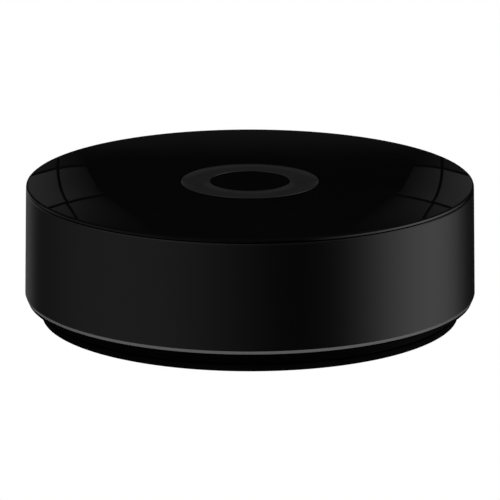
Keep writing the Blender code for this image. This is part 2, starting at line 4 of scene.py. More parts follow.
import bmesh
import bpy
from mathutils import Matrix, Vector


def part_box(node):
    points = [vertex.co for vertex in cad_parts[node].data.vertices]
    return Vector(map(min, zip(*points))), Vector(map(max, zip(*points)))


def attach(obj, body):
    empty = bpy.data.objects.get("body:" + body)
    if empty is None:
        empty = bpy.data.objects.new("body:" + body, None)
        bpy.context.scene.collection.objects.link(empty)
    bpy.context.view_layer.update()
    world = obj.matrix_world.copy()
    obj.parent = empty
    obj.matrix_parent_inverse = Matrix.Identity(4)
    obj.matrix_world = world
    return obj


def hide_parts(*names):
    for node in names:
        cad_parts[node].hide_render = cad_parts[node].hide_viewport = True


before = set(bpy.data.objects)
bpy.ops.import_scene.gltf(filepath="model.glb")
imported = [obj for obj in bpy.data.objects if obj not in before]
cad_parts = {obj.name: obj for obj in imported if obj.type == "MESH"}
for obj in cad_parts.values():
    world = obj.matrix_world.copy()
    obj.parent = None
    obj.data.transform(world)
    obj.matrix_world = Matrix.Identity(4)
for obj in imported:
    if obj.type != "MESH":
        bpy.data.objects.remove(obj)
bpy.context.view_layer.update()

# Lengths are in millimetres unless a name says otherwise, and MM turns them into metres.
MM = 0.001
GAP = 0.3
FINE, MEDIUM, SMALL = 256, 128, 48
SMOOTH_ANGLE, CRISP_ANGLE = 35, 15
HOUSING = "housing"


def box(node):
    """A CAD node's lowest and highest corners, in millimetres."""
    lowest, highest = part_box(node)
    return lowest / MM, highest / MM


# Sizes read from the frame
BODY_RADIUS = box("side_shell")[1].x
SHELL_TOP_Z = box("side_shell")[1].z
CROWN_Z = box("top_cover")[1].z
RIM_RADIUS = box("top_cover")[1].x
COVER_SKIRT_Z = box("top_cover")[0].z
COVER_BOTTOM_Z = box("cover_gasket")[1].z + GAP
RING_BOTTOM_Z, RING_TOP_Z = box("status_ring")[0].z, box("status_ring")[1].z
RING_OUTER_RADIUS = box("status_ring")[1].x
FLANGE_RADIUS = box("bottom_cover")[1].x
BASE_BOTTOM_Z, SPIGOT_TOP_Z = box("bottom_cover")[0].z, box("bottom_cover")[1].z
FOOT_RADIUS = box("rubber_foot")[1].x
FOOT_HEIGHT = box("rubber_foot")[1].z
PANEL_LOW, PANEL_HIGH = box("port_panel")
JACK_LOW, JACK_HIGH = box("rj45_jack")
USB_LOW, USB_HIGH = box("usb_socket")
TONGUE_LOW, TONGUE_HIGH = box("usb_tongue")
KEY_LOW, KEY_HIGH = box("pairing_button")
LABEL_LOW, LABEL_HIGH = box("rating_label")

# Profile of the shell
CHAMFER_Z = 5.23
CHAMFER_RADIUS = 53.7
WALL_BOTTOM_Z = 6.0
WALL_TOP_Z = 31.3
WALL_TOP_RADIUS = 53.57
BEVEL_TOP_Z = 31.54
BEVEL_TOP_RADIUS = 53.42
SHELL_TOP_RADIUS = 53.36
RECESS_RADIUS = 52.4
SHELL_INNER_RADIUS = 51.9
LEDGE_RADIUS = 50.4
LEDGE_TOP_Z = 30.2
LEDGE_DEPTH = 1.3
COLUMN_RADIUS = 3.0
COLUMN_TOP_Z = 15.0
COLUMN_HOLE_TOP_Z = 12.6
WEB_HALF_WIDTH = 1.5
WEB_TOP_Z = 14.0

# Profile of the cover: a shallow dome, a shoulder made matte and dark as painted shade of the gap to the
# wall, and a bevelled rim over the wall
COVER_RADIUS = 53.1
COVER_EDGE_Z = 32.6
COVER_DROP = CROWN_Z - COVER_EDGE_Z
RIM_EDGE_RADIUS = 53.47
RIM_EDGE_Z = 32.3
RIM_Z = SHELL_TOP_Z + GAP
SKIRT_RADIUS = LEDGE_RADIUS - 0.4
SKIRT_THICKNESS = 1.1
DOME_STEPS, CENTRE_STEPS = 16, 4
RING_INNER_RADIUS = 9.6

# Base
FLANGE_Z = 4.25
BASE_FLOOR_Z = 3.9
SPIGOT_RADIUS = 51.5
SPIGOT_THICKNESS = 1.4
FOOT_WIDTH = 7.8
FOOT_GROOVES = 4
VENT_COUNT = 16
VENT_START, VENT_END, VENT_WIDTH = 24.0, 32.0, 1.6

# Screws, posts and the reset pinhole
SCREW_ANGLES = (30, 150, 210, 330)
SCREW_CIRCLE = 46.2
SCREW_HOLE_RADIUS = 1.45
SCREW_HEAD_RADIUS = 2.9
SCREW_SEAT_Z = 3.05
SHANK_RADIUS = 1.5
POST_ANGLES = (45, 135, 225, 315)
POST_CIRCLE = 38.0
POST_RADIUS = 3.0
POST_TOP_Z = 7.7
PINHOLE_RADIUS = 0.9
RESET_Y = -37.5

# Socket bay at the rear
BAY_HALF_WIDTH, BAY_LOW_Z, BAY_HIGH_Z, BAY_CORNER = 19.3, 6.9, 24.8, 2.0
BAY_START_Y = 40
PANEL_RIM = 1.2
PANEL_BACK_Y, PANEL_FACE_Y = 47.5, 49.5
PANEL_RIM_RADIUS = 53.3
OUTSIDE_Y = 60
JACK_X = (JACK_LOW.x + JACK_HIGH.x) / 2
USB_X, USB_Z = (USB_LOW.x + USB_HIGH.x) / 2, (USB_LOW.z + USB_HIGH.z) / 2
KEY_X, KEY_Z = (KEY_LOW.x + KEY_HIGH.x) / 2, (KEY_LOW.z + KEY_HIGH.z) / 2
KEY_RADIUS = 2.2
COLLAR_WIDTH, COLLAR_HEIGHT = 0.6, 0.35

# The holes in the panel and the mouths of the sockets: centre, half width, half height and corner radius
JACK_HOLE = ((JACK_X, 16.4), 6.3, 4.8, 0.5)
JACK_MOUTH = ((JACK_X, 16.45), 6.9, 5.45, 0.3)
USB_HOLE = ((USB_X, USB_Z), 4.8, 1.9, 1.8)
USB_SHELL = ((USB_X, USB_Z), 4.5, 1.6, 1.5)
USB_MOUTH = ((USB_X, USB_Z), 4.15, 1.25, 1.2)

# Inside the sockets
PLUG_HALF_WIDTH, PLUG_LOW_Z, PLUG_HIGH_Z = 5.9, 13.7, 20.9
LATCH_HALF_WIDTH, LATCH_LOW_Z = 3.2, 12.0
CAVITY_BACK_Y = 34.5
CONTACT_COUNT, CONTACT_PITCH, CONTACT_WIDTH = 8, 1.02, 0.45
SPRING_LOW_Z, SPRING_HIGH_Z = 15.6, 18.8
LIGHT_X, LIGHT_Z, LIGHT_SHAPE = 4.75, 12.75, (1.05, 0.5, 0.2)
JACK_BACK_WALL, USB_BACK_WALL = 3.0, 1.4
PAD_COUNT, PAD_PITCH, PAD_WIDTH = 12, 0.5, 0.27

# The camera, and the share of the picture's width that the hub's radius takes up
CAMERA_ELEVATION = math.radians(15.02)
CAMERA_DISTANCE = 24.0 * BODY_RADIUS
AIM_Z = 0.2926 * BODY_RADIUS
RADIUS_SHARE = 0.45006

# Softboxes: azimuth from the front towards +X, half width, edge softness, lowest and highest elevation, level
SOFTBOXES = (
    ("key", 95, 27, 24, -80, 20, 0.93),
    ("fill", -59, 46, 44, -80, 4, 0.275),
    ("rim", -160, 12, 10, -80, 5, 0.2),
    ("level key", 75, 35, 15, 0, 20, 0.55),
    ("level fill", -140, 25, 12, -2, 20, 0.3),
    ("high key", 106, 28, 26, 24, 80, 1.2),
    ("high fill", -75, 50, 45, 24, 80, 0.42),
    ("overhead", 0, 60, 30, 24, 80, 0.12),
    ("back", 180, 12, 10, -80, 0, 0.03),
)
ELEVATION_SOFTNESS = 10
ZENITH_LEVEL, ZENITH_START, ZENITH_END = 0.08, 50, 80

# Elevations, in degrees, of the dark band that the cover mirrors, and of a faint glow at its lower edge
MIRROR_BAND_START, MIRROR_BAND_END = (10.0, 12.4), (18.4, 22.0)
HORIZON_GLOW = 0.0155
GLOW_RISE, GLOW_FADE = (5.0, 9.0), (11.75, 13.55)

FLOOR_HALF_WIDTH = 12000
TOP_LIGHT_WATTS = 20.0
TOP_LIGHT_SIZE = 3000
TOP_LIGHT_Z = 1500

# The window that the cover mirrors near its rim: rows of points on the cover, from the rim inwards, each with
# x, y and glow. Between two rows of points lies a row of panes, with a share of that glow, and then a 1 for a
# bar above it and a 1 for a bar below it.
WINDOW_ROWS = (
    ((-58.0, 20.0, 0.07), (-46.7, 27.0, 0.03), (-40.4, 30.0, 0.007)),
    ((-58.0, 0.5, 0.095), (-46.4, 13.3, 0.036), (-39.7, 16.0, 0.007)),
    ((-58.0, -17.0, 0.095), (-45.3, -3.5, 0.036), (-37.2, -1.0, 0.008)),
    ((-58.0, -37.0, 0.085), (-43.1, -19.8, 0.037), (-34.5, -12.7, 0.004)),
    ((-52.0, -60.0, 0.06), (-38.0, -46.0, 0.011), (-20.0, -52.0, 0.0)),
)
PANE_ROWS = ((0.35, 0, 1), (1.0, 1, 0), (1.0, 0, 1), (0.85, 1, 0))
PANE_STEPS = 6
BAR_HALF_WIDTH, BAR_HALF_DEPTH = 0.36, 1.2
WINDOW_DISTANCE = 1200
WINDOW_TURNS = 8


# Outlines

def around(radius, degrees):
    """A point on a circle about the hub's axis."""
    turn = math.radians(degrees)
    return radius * math.cos(turn), radius * math.sin(turn)


def arc(centre, radius, start, end, steps):
    """Points along an arc, both ends included, with angles in degrees."""
    turns = [math.radians(start + (end - start) * i / steps) for i in range(steps + 1)]
    return [(centre[0] + radius * math.cos(t), centre[1] + radius * math.sin(t)) for t in turns]


def rounded_rectangle(lowest, highest, radius, steps=8):
    """The outline of a rectangle with round corners, from its lowest and highest corners."""
    corners = (
        ((highest[0] - radius, lowest[1] + radius), -90),
        ((highest[0] - radius, highest[1] - radius), 0),
        ((lowest[0] + radius, highest[1] - radius), 90),
        ((lowest[0] + radius, lowest[1] + radius), 180),
    )
    outline = []
    for centre, start in corners:
        outline += arc(centre, radius, start, start + 90, steps)
    return outline


def grown(centre, half_width, half_height, radius, more=0.0, steps=8):
    """A rounded rectangle about a centre, made larger all round."""
    x, z = centre
    lowest = (x - half_width - more, z - half_height - more)
    highest = (x + half_width + more, z + half_height + more)
    return rounded_rectangle(lowest, highest, radius + more, steps)


# Meshes

def add_turned(bm, outline, segments=FINE, centre=(0.0, 0.0), axis="z"):
    """Spin an outline of (radius, height) points about an upright axis, or about an axis along Y."""
    if axis == "z":
        places = [(centre[0] + r, centre[1], h) for r, h in outline]
        pivot, direction = (centre[0] * MM, centre[1] * MM, 0), (0, 0, 1)
    else:
        places = [(centre[0] + r, h, centre[1]) for r, h in outline]
        pivot, direction = (centre[0] * MM, 0, centre[1] * MM), (0, 1, 0)
    points = [bm.verts.new(Vector(place) * MM) for place in places]
    edges = [bm.edges.new(pair) for pair in zip(points, points[1:])]
    if outline[0][0] or outline[-1][0]:
        edges.append(bm.edges.new((points[-1], points[0])))
    bmesh.ops.spin(
        bm, geom=points + edges, cent=pivot, axis=direction, angle=math.tau, steps=segments, use_merge=True
    )
    bmesh.ops.remove_doubles(bm, verts=bm.verts[:], dist=1e-7)


def add_cylinder(bm, radius, start, end, segments=SMALL, centre=(0.0, 0.0)):
    """An upright cylinder."""
    add_turned(bm, [(0, start), (radius, start), (radius, end), (0, end)], segments, centre)


def facing_z(x, y, z):
    return x, y, z


def facing_y(x, z, y):
    return x, y, z


def facing_x(y, z, x):
    return x, y, z


def add_plate(bm, outline, start, end, place=facing_z):
    """An outline extruded from start to end. place says which way it faces."""
    base = [bm.verts.new(Vector(place(x, y, start)) * MM) for x, y in outline]
    top = [bm.verts.new(Vector(place(x, y, end)) * MM) for x, y in outline]
    bm.faces.new(base)
    bm.faces.new(top)
    for i, vert in enumerate(base):
        j = (i + 1) % len(base)
        bm.faces.new((vert, base[j], top[j], top[i]))


def add_block(bm, lowest, highest):
    (x_low, y_low, z_low), (x_high, y_high, z_high) = lowest, highest
    corners = [(x_low, y_low), (x_high, y_low), (x_high, y_high), (x_low, y_high)]
    add_plate(bm, corners, z_low, z_high)


def smooth(mesh, angle=SMOOTH_ANGLE):
    """Shade a mesh smooth, with hard edges where it turns by more than an angle in degrees."""
    mesh.shade_smooth()
    mesh.set_sharp_from_angle(angle=math.radians(angle))


def add_object(name, bm):
    bmesh.ops.recalc_face_normals(bm, faces=bm.faces[:])
    mesh = bpy.data.meshes.new(name)
    bm.to_mesh(mesh)
    bm.free()
    smooth(mesh)
    made = bpy.data.objects.new(name, mesh)
    bpy.context.scene.collection.objects.link(made)
    return made


def bake(target):
    """Turn an object's modifiers into its mesh."""
    graph = bpy.context.evaluated_depsgraph_get()
    finished = bpy.data.meshes.new_from_object(target.evaluated_get(graph))
    target.modifiers.clear()
    target.data = finished
    smooth(finished)


def combine(target, bm, operation):
    """Cut, join or intersect with a shape, and keep only the result."""
    helper = add_object("helper", bm)
    modifier = target.modifiers.new("combine", "BOOLEAN")
    modifier.operation = operation
    modifier.solver = "EXACT"
    modifier.object = helper
    bake(target)
    bpy.data.objects.remove(helper, do_unlink=True)


def soften(target, width, steps=2, angle=50):
    """Round an object's corners."""
    modifier = target.modifiers.new("soften", "BEVEL")
    modifier.width = width * MM
    modifier.segments = steps
    modifier.limit_method = "ANGLE"
    modifier.angle_limit = math.radians(angle)
    modifier.harden_normals = True
    bake(target)


def finish(made, look, stands_for=(), body=HOUSING):
    """Give a piece its look and its body, and hide the CAD nodes that it stands for."""
    made.data.materials.clear()
    made.data.materials.append(look)
    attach(made, body)
    if stands_for:
        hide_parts(*stands_for)
    return made


def repaint(made, look, belongs):
    """Give a second look to the faces that belong to it, by their radius, height and upward facing."""
    made.data.materials.append(look)
    for face in made.data.polygons:
        middle = face.center / MM
        if belongs(Vector(middle.xy).length, middle.z, face.normal.z):
            face.material_index = len(made.data.materials) - 1


# Looks

def new_look(name):
    made = bpy.data.materials.new(name)
    made.use_nodes = True
    return made, made.node_tree, made.node_tree.nodes["Principled BSDF"]


def add_node(tree, kind, **values):
    """A node with its inputs and settings by name."""
    made = tree.nodes.new(kind)
    for key, value in values.items():
        if key.replace("_", " ") in made.inputs:
            made.inputs[key.replace("_", " ")].default_value = value
        else:
            setattr(made, key, value)
    return made


def noise(tree, size, detail=2.0, stretch=(1, 1, 1)):
    """Noise in the object's own space, with grains of a size in millimetres."""
    place = add_node(tree, "ShaderNodeTexCoord")
    turn = add_node(tree, "ShaderNodeMapping", Scale=stretch)
    made = add_node(tree, "ShaderNodeTexNoise", Scale=1 / (size * MM), Detail=detail)
    tree.links.new(place.outputs["Object"], turn.inputs["Vector"])
    tree.links.new(turn.outputs["Vector"], made.inputs["Vector"])
    return made.outputs["Fac"]


def spread(tree, source, lowest, highest):
    """Map the middle of a noise's range onto a range."""
    made = add_node(tree, "ShaderNodeMapRange", From_Min=0.3, From_Max=0.7, To_Min=lowest, To_Max=highest)
    tree.links.new(source, made.inputs["Value"])
    return made.outputs["Result"]


def blend_colours(tree, source, first, second, start=0.35, end=0.65):
    made = add_node(tree, "ShaderNodeValToRGB")
    made.color_ramp.elements[0].position = start
    made.color_ramp.elements[0].color = (*first, 1)
    made.color_ramp.elements[1].position = end
    made.color_ramp.elements[1].color = (*second, 1)
    tree.links.new(source, made.inputs["Fac"])
    return made.outputs["Color"]


def moulded(
    name,
    colour,
    rough,
    grain=0.25,
    relief=0.02,
    tint=0.12,
    patch=9.0,
    metallic=0.0,
    stretch=(1, 1, 1),
    shine=0.5,
):
    """Moulded, cast or rolled stock: fine relief, and a colour and roughness that drift a little over it."""
    made, tree, shader = new_look(name)
    drift = noise(tree, patch)
    fine = noise(tree, grain, 3.0, stretch)
    darker, lighter = [c * (1 - tint) for c in colour], [c * (1 + tint) for c in colour]
    tree.links.new(blend_colours(tree, drift, darker, lighter), shader.inputs["Base Color"])
    tree.links.new(spread(tree, fine, *rough), shader.inputs["Roughness"])
    if relief:
        bump = add_node(tree, "ShaderNodeBump", Strength=relief, Distance=grain * MM / 4)
        tree.links.new(fine, bump.inputs["Height"])
        tree.links.new(bump.outputs["Normal"], shader.inputs["Normal"])
    shader.inputs["Metallic"].default_value = metallic
    shader.inputs["Specular IOR Level"].default_value = shine
    return made


def board_look():
    """Green solder mask over fine copper tracks, with a scatter of small tinned pads."""
    made, tree, shader = new_look("board_mask")
    place = add_node(tree, "ShaderNodeTexCoord")
    tracks = add_node(tree, "ShaderNodeTexBrick", Scale=220.0, Mortar_Size=0.035)
    tracks.inputs["Color1"].default_value = (0.012, 0.075, 0.034, 1)
    tracks.inputs["Color2"].default_value = (0.014, 0.085, 0.04, 1)
    tracks.inputs["Mortar"].default_value = (0.02, 0.13, 0.06, 1)
    pads = add_node(tree, "ShaderNodeTexVoronoi", Scale=420.0, feature="F1")
    on_pad = add_node(tree, "ShaderNodeMath", operation="LESS_THAN")
    on_pad.inputs[1].default_value = 0.16
    metal = add_node(tree, "ShaderNodeMix", data_type="RGBA")
    metal.inputs[7].default_value = (0.5, 0.5, 0.48, 1)
    for texture in (tracks, pads):
        tree.links.new(place.outputs["Object"], texture.inputs["Vector"])
    tree.links.new(pads.outputs["Distance"], on_pad.inputs[0])
    tree.links.new(on_pad.outputs[0], metal.inputs[0])
    tree.links.new(tracks.outputs["Color"], metal.inputs[6])
    tree.links.new(metal.outputs[2], shader.inputs["Base Color"])
    tree.links.new(on_pad.outputs[0], shader.inputs["Metallic"])
    tree.links.new(spread(tree, noise(tree, 0.4), 0.3, 0.42), shader.inputs["Roughness"])
    return made


ROLLED = (1, 12, 1)
BRUSHED = (1, 1, 14)
LOOKS = {
    "gloss_cover": moulded("cover_gloss", (0.0058, 0.0058, 0.0059), (0.004, 0.012), 5.0, 0, 0.1, 20.0),
    "status_window": moulded("window_grey", (0.0375, 0.0375, 0.0385), (0.004, 0.012), 0.4, 0, 0.03, 4.0),
    "satin_shell": moulded("shell_satin", (0.0008, 0.0008, 0.00084), (0.29, 0.34), 0.12, 0.015),
    "base_plastic": moulded("base_black", (0.0006, 0.0006, 0.0006), (0.5, 0.62), 0.2, 0.1, 0.2, shine=0.02),
    "port_plastic": moulded("port_black", (0.012, 0.012, 0.0125), (0.42, 0.55), 0.22, 0.12, 0.2),
    "button_plastic": moulded("key_grey", (0.05, 0.05, 0.052), (0.36, 0.44), 0.15, 0.05, 0.1),
    "foot_rubber": moulded(
        "foot_rubber_black", (0.002, 0.002, 0.002), (0.7, 0.85), 0.3, 0.2, 0.25, shine=0.02
    ),
    "gasket_foam": moulded("foam_black", (0.012, 0.012, 0.012), (0.85, 1.0), 0.35, 0.6, 0.4, 1.0),
    "label_stock": moulded("label_silver", (0.42, 0.42, 0.43), (0.35, 0.45), 0.5, 0.03, 0.03, 6.0, 0.3),
    "frame_plastic": moulded("frame_ivory", (0.55, 0.54, 0.5), (0.42, 0.55), 0.2, 0.08, 0.04),
    "circuit_board": board_look(),
    "chip_plastic": moulded("chip_black", (0.014, 0.014, 0.015), (0.45, 0.6), 0.08, 0.2, 0.2, 2.0),
    "connector_plastic": moulded("connector_cream", (0.6, 0.56, 0.45), (0.38, 0.5), 0.15, 0.06, 0.05),
    "led_lens": moulded("lens_milky", (0.75, 0.75, 0.68), (0.12, 0.2), 0.5, 0.02, 0.05, 1.0),
    "ir_lens": moulded("lens_violet", (0.03, 0.012, 0.05), (0.05, 0.1), 0.6, 0.02, 0.2, 1.0),
    "flex_film": moulded("film_amber", (0.4, 0.18, 0.03), (0.25, 0.4), 0.4, 0.05, 0.2, 1.5),
    "lead_jacket": moulded("jacket_black", (0.02, 0.02, 0.02), (0.4, 0.55), 0.2, 0.1, 0.2),
    "steel": moulded("steel_rolled", (0.52, 0.52, 0.53), (0.24, 0.36), 0.3, 0.08, 0.08, 4.0, 1.0, ROLLED),
    "aluminium": moulded(
        "aluminium_brushed", (0.7, 0.71, 0.73), (0.3, 0.42), 0.3, 0.1, 0.06, 4.0, 1.0, BRUSHED
    ),
    "zinc_screw": moulded("zinc_plated", (0.5, 0.5, 0.49), (0.28, 0.4), 0.15, 0.12, 0.12, 1.0, 1.0),
}
# Painted highlight: the chamfer gets a grey far lighter than the satin wall, standing in for the bright line
# that light makes along that edge.
CHAMFER_HIGHLIGHT_LOOK = moulded("shell_chamfer_painted_highlight", (0.128, 0.128, 0.13), (0.34, 0.4), 0.12, 0.01, 0.04, shine=0.12)
RIM_LOOK = moulded("cover_rim", (0.0012, 0.0012, 0.0013), (0.14, 0.2), 0.2, 0.01)
# Painted shade: a matte near-black, put on the cover's shoulder and on the shell's top in the groove, so that
# they show as the shaded gap between cover and wall.
GAP_SHADE_LOOK = moulded("cover_edge_gap_shade", (0.0024, 0.0024, 0.0024), (0.6, 0.7), 0.2, 0.05, shine=0.05)
UNDERSIDE_LOOK = moulded("base_underside", (0.013, 0.013, 0.0135), (0.5, 0.62), 0.25, 0.15, 0.2)
SOLE_LOOK = moulded("foot_sole", (0.018, 0.018, 0.018), (0.7, 0.85), 0.3, 0.3, 0.25)
GOLD = moulded("contact_gold", (0.85, 0.6, 0.22), (0.16, 0.26), 0.2, 0.04, 0.08, 1.0, 1.0)
GREEN_LENS = moulded("lens_green", (0.05, 0.22, 0.07), (0.15, 0.22), 0.4, 0.03, 0.1, 1.0)
AMBER_LENS = moulded("lens_amber", (0.35, 0.17, 0.02), (0.15, 0.22), 0.4, 0.03, 0.1, 1.0)


# Pieces

def cover_height(radius):
    return CROWN_Z - COVER_DROP * (radius / COVER_RADIUS) ** 2


def dome(outer, inner, steps):
    """Points along the cover's top, from an outer radius in to an inner one."""
    return [(r, cover_height(r)) for r in (outer + (inner - outer) * i / steps for i in range(steps + 1))]


def make_cover():
    """The glossy disc: a shallow dome with a seat for the ring, a rim over the wall, and a plug and skirt."""
    seat_inner, seat_outer, seat_z = RING_INNER_RADIUS - GAP, RING_OUTER_RADIUS + GAP, RING_BOTTOM_Z - GAP
    skirt_inner = SKIRT_RADIUS - SKIRT_THICKNESS
    plug = RECESS_RADIUS - GAP
    edge = 0.05
    outline = [(0, COVER_BOTTOM_Z), (skirt_inner, COVER_BOTTOM_Z), (skirt_inner, COVER_SKIRT_Z)]
    outline += [(SKIRT_RADIUS, COVER_SKIRT_Z), (SKIRT_RADIUS, COVER_BOTTOM_Z)]
    outline += [(plug, COVER_BOTTOM_Z), (plug, RIM_Z)]
    outline += arc((RIM_RADIUS - edge, RIM_Z + edge), edge, -90, 0, 3) + [(RIM_EDGE_RADIUS, RIM_EDGE_Z)]
    outline += dome(COVER_RADIUS, COVER_RADIUS - edge, 1)
    outline += dome(COVER_RADIUS, seat_outer, DOME_STEPS)[1:] + [(seat_outer, seat_z), (seat_inner, seat_z)]
    outline += dome(seat_inner, 0, CENTRE_STEPS)
    bm = bmesh.new()
    add_turned(bm, outline)
    cover = add_object("cover_disc", bm)
    smooth(cover.data, CRISP_ANGLE)
    finish(cover, LOOKS["gloss_cover"], ["top_cover"])
    repaint(cover, RIM_LOOK, lambda r, z, up: r > COVER_RADIUS and RIM_Z < z < RIM_EDGE_Z)
    # Painted shade: the shoulder above the rim is made matte and dark to show the shaded gap.
    repaint(cover, GAP_SHADE_LOOK, lambda r, z, up: r > COVER_RADIUS and z > RIM_EDGE_Z)


def make_ring():
    """The plain status ring, with its edges rounded."""
    edge = 0.12
    outline = [(RING_INNER_RADIUS, RING_BOTTOM_Z), (RING_OUTER_RADIUS, RING_BOTTOM_Z)]
    outline += arc((RING_OUTER_RADIUS - edge, RING_TOP_Z - edge), edge, 0, 90, 4)
    outline += arc((RING_INNER_RADIUS + edge, RING_TOP_Z - edge), edge, 90, 180, 4)
    bm = bmesh.new()
    add_turned(bm, outline, MEDIUM)
    ring = add_object("status_window_ring", bm)
    finish(ring, LOOKS["status_window"], ["status_ring"])


def make_shell():
    """The satin wall, with its chamfer and bevel, a recess and ledge for the cover, and the screw columns."""
    ledge_bottom = LEDGE_TOP_Z - LEDGE_DEPTH
    outline = [(SHELL_INNER_RADIUS, CHAMFER_Z), (CHAMFER_RADIUS, CHAMFER_Z), (BODY_RADIUS, WALL_BOTTOM_Z)]
    outline += [(WALL_TOP_RADIUS, WALL_TOP_Z), (BEVEL_TOP_RADIUS, BEVEL_TOP_Z)]
    outline += [(SHELL_TOP_RADIUS, SHELL_TOP_Z), (RECESS_RADIUS, SHELL_TOP_Z)]
    outline += [(RECESS_RADIUS, LEDGE_TOP_Z), (LEDGE_RADIUS, LEDGE_TOP_Z)]
    outline += [(LEDGE_RADIUS, ledge_bottom), (SHELL_INNER_RADIUS, ledge_bottom - LEDGE_DEPTH)]
    bm = bmesh.new()
    add_turned(bm, outline)
    shell = add_object("shell_wall", bm)

    columns = bmesh.new()
    for degrees in SCREW_ANGLES:
        place = around(SCREW_CIRCLE, degrees)
        add_cylinder(columns, COLUMN_RADIUS, BASE_FLOOR_Z + GAP, COLUMN_TOP_Z, centre=place)
    combine(shell, columns, "UNION")
    webs = bmesh.new()
    web_end, web_bottom_z = SHELL_INNER_RADIUS + 0.8, SPIGOT_TOP_Z + 0.4
    for degrees in SCREW_ANGLES:
        start, end = Vector(around(SCREW_CIRCLE, degrees)), Vector(around(web_end, degrees))
        side = Vector(around(WEB_HALF_WIDTH, degrees + 90))
        web = [start - side, end - side, end + side, start + side]
        add_plate(webs, web, web_bottom_z, WEB_TOP_Z)
    combine(shell, webs, "UNION")
    cuts = bmesh.new()
    for degrees in SCREW_ANGLES:
        add_cylinder(cuts, SCREW_HOLE_RADIUS, 0, COLUMN_HOLE_TOP_Z, centre=around(SCREW_CIRCLE, degrees))
    bay = rounded_rectangle((-BAY_HALF_WIDTH, BAY_LOW_Z), (BAY_HALF_WIDTH, BAY_HIGH_Z), BAY_CORNER)
    add_plate(cuts, bay, BAY_START_Y, OUTSIDE_Y, facing_y)
    combine(shell, cuts, "DIFFERENCE")

    smooth(shell.data, CRISP_ANGLE)
    finish(shell, LOOKS["satin_shell"], ["side_shell"])
    # Painted shade: the shell's top, down in the groove under the cover, is made matte and dark to show the
    # shaded gap.
    repaint(shell, GAP_SHADE_LOOK, lambda r, z, up: z > BEVEL_TOP_Z)
    outside = (SHELL_INNER_RADIUS + BODY_RADIUS) / 2
    # Painted highlight: the chamfer band is painted lighter grey in place of the bright reflection along it.
    repaint(shell, CHAMFER_HIGHLIGHT_LOOK, lambda r, z, up: CHAMFER_Z < z < WALL_BOTTOM_Z and r > outside)


def vent_outline(degrees):
    """A vent slot with round ends that points at the hub's axis."""
    radius = VENT_WIDTH / 2
    start, end = around(VENT_START + radius, degrees), around(VENT_END - radius, degrees)
    round_start = arc(start, radius, degrees + 90, degrees + 270, 8)
    round_end = arc(end, radius, degrees - 90, degrees + 90, 8)
    return round_start + round_end


def make_base():
    """The dish under the hub: plinth, flange and spigot, with vents, board posts and the reset pinhole."""
    edge, slope = 0.2, 0.6
    inner = SPIGOT_RADIUS - SPIGOT_THICKNESS
    flange_top = CHAMFER_Z - GAP
    below, above = BASE_BOTTOM_Z - 1, BASE_FLOOR_Z + 1
    outline = [(0, BASE_BOTTOM_Z)] + arc((FOOT_RADIUS - edge, BASE_BOTTOM_Z + edge), edge, -90, 0, 3)
    outline += [(FOOT_RADIUS, FLANGE_Z)] + arc((FLANGE_RADIUS - edge, FLANGE_Z + edge), edge, -90, 0, 3)
    outline += [(FLANGE_RADIUS, flange_top), (SPIGOT_RADIUS, flange_top), (SPIGOT_RADIUS, SPIGOT_TOP_Z)]
    outline += [(inner, SPIGOT_TOP_Z), (inner, BASE_FLOOR_Z + slope), (inner - slope, BASE_FLOOR_Z)]
    outline += [(0, BASE_FLOOR_Z)]
    bm = bmesh.new()
    add_turned(bm, outline)
    base = add_object("base_dish", bm)

    posts = bmesh.new()
    for degrees in POST_ANGLES:
        add_cylinder(posts, POST_RADIUS, BASE_FLOOR_Z - 0.5, POST_TOP_Z, centre=around(POST_CIRCLE, degrees))
    combine(base, posts, "UNION")
    cuts = bmesh.new()
    for degrees in POST_ANGLES:
        place = around(POST_CIRCLE, degrees)
        add_cylinder(cuts, SCREW_HOLE_RADIUS, BASE_FLOOR_Z + 0.5, POST_TOP_Z + 1, centre=place)
    for degrees in SCREW_ANGLES:
        step = [(0, below), (SCREW_HEAD_RADIUS, below), (SCREW_HEAD_RADIUS, SCREW_SEAT_Z)]
        step += [(SHANK_RADIUS, SCREW_SEAT_Z), (SHANK_RADIUS, above), (0, above)]
        add_turned(cuts, step, SMALL, around(SCREW_CIRCLE, degrees))
    funnel = PINHOLE_RADIUS + 0.4
    pinhole = [(0, below), (funnel, below), (funnel, BASE_BOTTOM_Z)]
    pinhole += [(PINHOLE_RADIUS, BASE_BOTTOM_Z + 0.4), (PINHOLE_RADIUS, above), (0, above)]
    add_turned(cuts, pinhole, SMALL, (0, RESET_Y))
    notch, notch_z = BAY_HALF_WIDTH + 1.5, BAY_LOW_Z - 0.6
    add_block(cuts, (-notch, BAY_START_Y, notch_z), (notch, OUTSIDE_Y, SPIGOT_TOP_Z + 1))
    for number in range(VENT_COUNT):
        add_plate(cuts, vent_outline(360 * number / VENT_COUNT), below, above)
    combine(base, cuts, "DIFFERENCE")
    finish(base, LOOKS["base_plastic"], ["bottom_cover"])
    foot_inner = FOOT_RADIUS - FOOT_WIDTH
    repaint(base, UNDERSIDE_LOOK, lambda r, z, up: z < BASE_FLOOR_Z and (r < foot_inner or up < -0.98))


